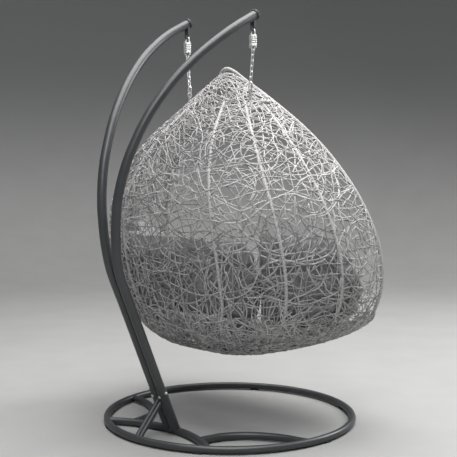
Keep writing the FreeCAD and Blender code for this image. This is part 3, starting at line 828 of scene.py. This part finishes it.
def blow_up(obj, cap):
    """Cloth simulation under inner pressure; no point moves further than the cap."""
    before = positions(obj.data)
    cloth = obj.modifiers.new("cloth", "CLOTH")
    cloth.settings.quality = 4
    cloth.settings.mass = 0.25
    cloth.settings.tension_stiffness = 12
    cloth.settings.compression_stiffness = 12
    cloth.settings.shear_stiffness = 6
    cloth.settings.bending_stiffness = 0.4
    cloth.settings.use_pressure = True
    cloth.settings.uniform_pressure_force = PRESSURE
    cloth.settings.effector_weights.gravity = 0.0
    cloth.collision_settings.use_collision = False
    cloth.point_cache.frame_start = 1
    cloth.point_cache.frame_end = LAST_FRAME
    for number in range(1, LAST_FRAME + 1):
        bpy.context.scene.frame_set(number)
    evaluated = obj.evaluated_get(bpy.context.evaluated_depsgraph_get())
    moved = positions(evaluated.to_mesh()) - before
    evaluated.to_mesh_clear()
    obj.modifiers.clear()
    bpy.context.scene.frame_set(1)
    length = np.linalg.norm(moved, axis=1)
    scale = np.minimum(1.0, cap / np.maximum(length, 1e-9))
    place(obj, before + moved * scale[:, None])


def crease(obj, distance, depth, half_width):
    """Draws the cloth in along a line, given each point's distance from it."""
    push(obj, -depth * np.exp(-(distance / half_width) ** 2))


def rumple(obj, scale, height):
    """Soft hollows and folds of a filled cover."""
    co = positions(obj.data) * scale
    waves = (
        np.sin(co[:, 0] * 1.7 + 2.1 * np.sin(co[:, 2] * 1.3 + 0.6))
        + np.sin(co[:, 1] * 1.9 + 1.7 * np.sin(co[:, 0] * 1.1 + 1.9))
        + np.sin(co[:, 2] * 2.3 + 1.9 * np.sin(co[:, 1] * 1.5 + 4.0))
    )
    push(obj, height * waves / 3)


def finish_cushion(obj, node):
    subdivision = obj.modifiers.new("subdivision", "SUBSURF")
    subdivision.levels = 1
    subdivision.render_levels = 1
    bake_modifiers(obj)
    obj.data.polygons.foreach_set("use_smooth", [True] * len(obj.data.polygons))
    add_piece(obj, "basket", "grey_fabric", replaces=[node])


PIPING_RADIUS = 0.0042
PIPING_LIFT = 0.0012
PIPING_STEP = 0.008


def piping(name, cushion, guide):
    """Corded seam that lies on a cushion along a closed guide line."""
    bm = bmesh.new()
    bm.from_mesh(cushion.data)
    tree = BVHTree.FromBMesh(bm)
    bm.free()
    path = []
    for point in guide:
        spot, normal, _, _ = tree.find_nearest(Vector(point))
        path.append(np.array(spot + normal * PIPING_LIFT))
    path = even_points(np.array(path), PIPING_STEP, closed=True)
    for _ in range(3):
        middle = (np.roll(path, 1, 0) + np.roll(path, -1, 0)) / 2
        path = (path + middle) / 2
    cord = tube(name, path, PIPING_RADIUS, 8, closed=True)
    add_piece(cord, "basket", "grey_fabric", "piping_fabric")


SEAT_SHRINK = 0.003
SEAT_ROUNDS = 3
SEAT_SWELL = 0.012
# Height and inset of the corded seams round the seat cushion's upper and lower edges.
SEAT_SEAMS = ((0.512, 0.050), (0.440, 0.036))
SEAT_CHANNEL_PLACES = (-0.19, 0.19)
CHANNEL_BOTTOM = 0.47
FAR_AWAY = 1.0

PILLOW_ENDS = {
    "back_cushion_left": (4.0, 55.0),
    "back_cushion_centre": (57.0, 123.0),
    "back_cushion_right": (125.0, 176.0),
}
PILLOW_JOINTS = (56.0, 124.0)
PILLOW_SHRINK = 0.004
PILLOW_ROUNDS = 4
PILLOW_SWELL = 0.022
PILLOW_STRETCH = 1.036
PILLOW_TOP_RISE = {
    "back_cushion_left": 0.028, "back_cushion_centre": 0.018, "back_cushion_right": 0.028,
}
RISE_START = 0.78
RISE_SPAN = 0.14
FOLD_HEIGHT = 0.815
FOLD_SWAY = 0.03
PILLOW_CHANNELS = (0.34, 0.66)
MIDDLE_LEVEL = 0.70
MIDDLE_DEPTH = 0.15
PRESS_GAP = 0.0015
RIB_DENT_GAP = 0.0035
RIB_STEP = 0.006
RIB_NEAR = 0.08


def make_seat_cushion(simulate):
    seat = shrunken_copy("seat_cushion", "seat_pad", SEAT_SHRINK, SEAT_ROUNDS)
    if simulate:
        blow_up(seat, SEAT_SWELL)
    rumple(seat, 14.0, 0.003)
    for across in SEAT_CHANNEL_PLACES:
        co = positions(seat.data)
        distance = np.abs(co[:, 0] - across) + np.where(co[:, 2] < CHANNEL_BOTTOM, FAR_AWAY, 0.0)
        crease(seat, distance, 0.018, 0.014)
    finish_cushion(seat, "seat_cushion")
    for number, (height, inset) in enumerate(SEAT_SEAMS, start=1):
        level_inset = square_inset(height, inset)
        guide = [surface_point(height, a * 2.0, level_inset) for a in range(180)]
        piping("seat_piping_%d" % number, seat, guide)


def past_upright(co, angle_deg):
    """Distance past the upright plane that meets the wall square, and its direction."""
    outside = surface_point(MIDDLE_LEVEL, angle_deg)
    inward = surface_point(MIDDLE_LEVEL, angle_deg, MIDDLE_DEPTH) - outside
    sideways = np.cross(inward, (0.0, 0.0, 1.0))
    sideways /= np.linalg.norm(sideways)
    return (co - outside) @ sideways, sideways


def lengthen(obj, angle_deg, ratio):
    """Stretches a pillow along the wall, so that its ends press on the next ones."""
    co = positions(obj.data)
    past, sideways = past_upright(co, angle_deg)
    place(obj, co + past[:, None] * (ratio - 1) * sideways)


def plump_top(obj, rise):
    """Lifts the upper edge of a pillow, most at its crest."""
    co = positions(obj.data)
    share = np.clip((co[:, 2] - RISE_START) / RISE_SPAN, 0, 1)
    co[:, 2] += rise * share * share * (3 - 2 * share)
    place(obj, co)


def sew_pillow(obj, first_deg, last_deg):
    """One wavy fold along the pillow and two upright channels."""
    co = positions(obj.data)
    fold = FOLD_HEIGHT - FOLD_SWAY * np.sin(co[:, 0] * 9.0)
    crease(obj, np.abs(co[:, 2] - fold), 0.018, 0.024)
    for share in PILLOW_CHANNELS:
        co = positions(obj.data)
        past, _ = past_upright(co, first_deg + (last_deg - first_deg) * share)
        crease(obj, np.abs(past), 0.008, 0.016)


def press_flat(obj, angle_deg, middle_deg):
    """Flattens a pillow where the next one presses on it, so that they nearly touch."""
    co = positions(obj.data)
    past, sideways = past_upright(co, angle_deg)
    inner, _ = past_upright(surface_point(MIDDLE_LEVEL, middle_deg)[None], angle_deg)
    sign = -math.copysign(1.0, inner[0])
    beyond = np.maximum(past * sign + PRESS_GAP, 0.0)
    place(obj, co - (beyond * sign)[:, None] * sideways)


def press_ribs(obj):
    """Dents a pillow where the ribs press on it from behind."""
    co = positions(obj.data).astype(float)
    for angle in RIB_ANGLES:
        path = even_points(rib_path(angle), RIB_STEP)
        near = np.flatnonzero(np.abs(past_upright(co, angle)[0]) < RIB_NEAR)
        if not len(near):
            continue
        away = co[near][:, None] - path[None]
        distance = np.linalg.norm(away, axis=2)
        closest = distance.argmin(axis=1)
        rows = np.arange(len(near))
        gap = distance[rows, closest]
        short = np.maximum(RIB_VISUAL_RADIUS + RIB_DENT_GAP - gap, 0.0)
        co[near] += away[rows, closest] / np.maximum(gap, 1e-6)[:, None] * short[:, None]
    place(obj, co)


def make_back_cushion(node, simulate):
    first, last = PILLOW_ENDS[node]
    middle = (first + last) / 2
    pillow = shrunken_copy(node, node.replace("cushion", "pillow"), PILLOW_SHRINK, PILLOW_ROUNDS)
    if simulate:
        blow_up(pillow, PILLOW_SWELL)
    rumple(pillow, 11.0, 0.006)
    lengthen(pillow, middle, PILLOW_STRETCH)
    plump_top(pillow, PILLOW_TOP_RISE[node])
    sew_pillow(pillow, first, last)
    for joint in PILLOW_JOINTS:
        press_flat(pillow, joint, middle)
    press_ribs(pillow)
    finish_cushion(pillow, node)


def make_cushions():
    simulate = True
    make_seat_cushion(simulate)
    for node in PILLOW_ENDS:
        make_back_cushion(node, simulate)


# ------------------------------------------------------------------------ springs
SPRING_TURNS = 6.5
SPRING_WIRE = 0.0029
SPRING_DEAD_TURNS = 1.0
SPRING_DEAD_SHARE = 0.09
SPRING_POINTS_PER_TURN = 28


def coil_share(turn):
    """Share of a coil's height reached after some turns: flat at both ends."""
    live = (turn - SPRING_DEAD_TURNS) / (SPRING_TURNS - 2 * SPRING_DEAD_TURNS)
    rise = (1 - 2 * SPRING_DEAD_SHARE) * min(max(live, 0.0), 1.0)
    foot = SPRING_DEAD_SHARE * min(turn, 1.0)
    head = SPRING_DEAD_SHARE * min(max(turn - SPRING_TURNS + 1, 0), 1)
    return foot + rise + head


def make_coil(side):
    """Compression coil with closed, flattened ends."""
    low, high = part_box("spring_coil_" + side)
    radius = (high.x - low.x) / 2 - SPRING_WIRE
    centre = np.array(((low.x + high.x) / 2, (low.y + high.y) / 2, 0.0))
    bottom = low.z + SPRING_WIRE
    top = high.z - SPRING_WIRE
    points = []
    for i in range(int(SPRING_TURNS * SPRING_POINTS_PER_TURN) + 1):
        turn = i / SPRING_POINTS_PER_TURN
        angle = 2 * math.pi * turn
        height = bottom + (top - bottom) * coil_share(turn)
        points.append(centre + (radius * math.cos(angle), radius * math.sin(angle), height))
    coil = tube("coil_" + side, np.array(points), SPRING_WIRE, 10)
    add_piece(coil, "spring_tops", "zinc_steel", replaces=["spring_coil_" + side])
    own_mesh(coil)


# ------------------------------------------------------- hanger bar and end caps
BAR_REACH = 0.219
BAR_RADIUS = 0.009
EYE_HEIGHT = 1.5973
EYE_BACK = 0.074
EYE_SPACING = 0.203
EYE_RADIUS = 0.0108
EYE_WIRE = 0.0042
EYE_PITCH = 0.0045
EYE_POINTS = 40
NECK_RADIUS = 0.0075
NECK_TOP = EYE_HEIGHT - 0.012

ARM_TIP = (0.222, 0.060, 1.952)
ARM_HEADING = (-0.0235, -0.898, 0.440)
# Distance along the arm past its end, and radius, from the skirt's edge to the dome.
CAP_PROFILE = (
    (-0.0120, 0.0212), (-0.0120, 0.0243), (-0.0105, 0.0255), (0.0020, 0.0255),
    (0.0045, 0.0230), (0.0070, 0.0150), (0.0080, 0.0040),
)
CAP_RIBBED_ROWS = range(1, 5)
CAP_RIBS = 26
CAP_RIB_POINTS = 6
CAP_RIB_DEPTH = 0.0017
CAP_VALLEY_LEVEL = -0.1


def add_wrapped_piece(obj):
    add_piece(obj, "basket", "grey_rattan", replaces=["hanger_bar"])


def make_hanger_bar():
    """Wrapped cross bar with a wrapped eye near each end for the quick links."""
    ends = [(x, EYE_BACK, TOP_HOOP_HEIGHT) for x in (-BAR_REACH, BAR_REACH)]
    add_wrapped_piece(wrapped_tube("hanger_wrap", np.linspace(*ends, 40), BAR_RADIUS, WRAP_PITCH))
    turn = np.linspace(0, 2 * math.pi, EYE_POINTS, endpoint=False)
    for side, sign in zip(SIDES, (1, -1)):
        x = sign * EYE_SPACING
        ring = np.stack([
            np.full(EYE_POINTS, x),
            EYE_BACK + EYE_RADIUS * np.cos(turn),
            EYE_HEIGHT + EYE_RADIUS * np.sin(turn),
        ], axis=1)
        eye = wrapped_tube("hanger_eye_" + side, ring, EYE_WIRE, EYE_PITCH, 10, closed=True)
        add_wrapped_piece(eye)
        neck = np.linspace((x, EYE_BACK, TOP_HOOP_HEIGHT), (x, EYE_BACK, NECK_TOP), 12)
        add_wrapped_piece(wrapped_tube("hanger_neck_" + side, neck, NECK_RADIUS, WRAP_PITCH))


def make_end_cap(side, sign):
    """Black slip-over cap with moulded ribs round its skirt."""
    mirror = np.array((sign, 1, 1))
    tip = np.array(ARM_TIP) * mirror
    heading = np.array(ARM_HEADING) * mirror
    heading = heading / np.linalg.norm(heading)
    across = np.cross(heading, (0.0, 0.0, 1.0))
    across = across / np.linalg.norm(across)
    up = np.cross(across, heading)
    count = CAP_RIBS * CAP_RIB_POINTS
    turn = np.linspace(0, 2 * math.pi, count, endpoint=False)
    circle = np.cos(turn)[:, None] * across + np.sin(turn)[:, None] * up
    valley = (np.cos(turn * CAP_RIBS) < CAP_VALLEY_LEVEL) * CAP_RIB_DEPTH
    vertices = []
    for number, (along, radius) in enumerate(CAP_PROFILE):
        radii = radius - valley * (number in CAP_RIBBED_ROWS)
        vertices.append(tip + heading * along + circle * radii[:, None])
    faces = tube_faces(len(CAP_PROFILE), count, False)
    cap = mesh_object("ribbed_cap_" + side, np.concatenate(vertices), faces, smooth=False)
    add_piece(cap, "stand", "black_plastic", replaces=["end_cap_" + side])


# -------------------------------------------------------------- stage and picture
# The studio floor is flat, then curves up into an upright wall.
STAGE_FLAT = 5.0
STAGE_CURVE = 3.5
STAGE_CURVE_STEPS = 12
STAGE_WALL = 10.0
STAGE_SEGMENTS = 96
PALE_TONES = [(0.3, (0.32, 0.32, 0.318)), (0.7, (0.34, 0.34, 0.338))]
WALL_TONE = (0.15, 0.152, 0.155)
WALL_TONE_HEIGHTS = (0.2, 2.6)


def stage_section():
    """Distance from the middle and height of each ring of the studio floor."""
    section = [(STAGE_FLAT, 0.0)]
    for step in range(1, STAGE_CURVE_STEPS + 1):
        turn = math.radians(90 / STAGE_CURVE_STEPS * step)
        outward = STAGE_FLAT + STAGE_CURVE * math.sin(turn)
        section.append((outward, STAGE_CURVE * (1 - math.cos(turn))))
    section.append((section[-1][0], STAGE_WALL))
    return section


def make_stage():
    """Pale round floor that curves up into a wall, so that no horizon shows."""
    section = stage_section()
    vertices = []
    for radius, height in section:
        for number in range(STAGE_SEGMENTS):
            turn = 2 * math.pi * number / STAGE_SEGMENTS
            vertices.append((radius * math.cos(turn), radius * math.sin(turn), height))
    faces = [tuple(range(STAGE_SEGMENTS))]
    for ring in range(len(section) - 1):
        for number in range(STAGE_SEGMENTS):
            low = ring * STAGE_SEGMENTS + number
            next_low = ring * STAGE_SEGMENTS + (number + 1) % STAGE_SEGMENTS
            faces.append((low + STAGE_SEGMENTS, next_low + STAGE_SEGMENTS, next_low, low))
    floor = mesh_object("floor", vertices, faces)
    s = Shader("pale_floor", 0.9)
    paper = s.ramp(s.noise(3.0), PALE_TONES)
    s.colour(s.mix(s.height_share(*WALL_TONE_HEIGHTS), paper, WALL_TONE))
    floor.data.materials.append(s.material)


# Name, place, target, size, power in watts, colour.
LIGHTS = (
    ("overhead", (-0.4, -0.2, 5.6), (0, 0, 0.9), 6.0, 520, (1.0, 0.99, 0.97)),
    ("edge", (-1.6, -4.6, 3.6), (0, 0, 0.9), 2.0, 170, (1, 1, 1)),
    ("back", (-2.6, 3.2, 4.6), (0, 0, 1.2), 2.4, 110, (1, 1, 1)),
)
SKY_COLOUR = (0.86, 0.88, 0.90, 1.0)
SKY_STRENGTH = 0.55


def area_light(name, place, target, size, energy, colour):
    data = bpy.data.lights.new(name, "AREA")
    data.shape = "DISK"
    data.size = size
    data.energy = energy
    data.color = colour
    light = bpy.data.objects.new(name, data)
    light.location = place
    direction = Vector(target) - Vector(place)
    light.rotation_euler = direction.to_track_quat("-Z", "Y").to_euler()
    bpy.context.scene.collection.objects.link(light)


def make_light():
    """Soft light like an open sky: bright from above, little from the sides and below."""
    world = bpy.data.worlds.new("soft_sky")
    world.use_nodes = True
    background = world.node_tree.nodes["Background"]
    background.inputs["Color"].default_value = SKY_COLOUR
    background.inputs["Strength"].default_value = SKY_STRENGTH
    bpy.context.scene.world = world
    for light in LIGHTS:
        area_light(*light)
    bpy.context.scene.view_settings.view_transform = "Standard"


CAMERA_PLACE = (-3.2590, 3.4430, 1.2850)
CAMERA_TURN_DEG = (85.88, 0.0, 223.5)
CAMERA_LENS = 76.33
CAMERA_SENSOR = 36.0


def make_camera():
    data = bpy.data.cameras.new("camera")
    data.lens = CAMERA_LENS
    data.sensor_width = CAMERA_SENSOR
    camera = bpy.data.objects.new("camera", data)
    camera.location = CAMERA_PLACE
    camera.rotation_euler = [math.radians(angle) for angle in CAMERA_TURN_DEG]
    bpy.context.scene.collection.objects.link(camera)
    bpy.context.scene.camera = camera


make_camera()
make_light()
make_stage()
dress_cad_nodes()
make_basket_frame()
make_weave()
make_hanger_bar()
for side, sign in zip(SIDES, (1, -1)):
    make_coil(side)
    make_end_cap(side, sign)
make_cushions()
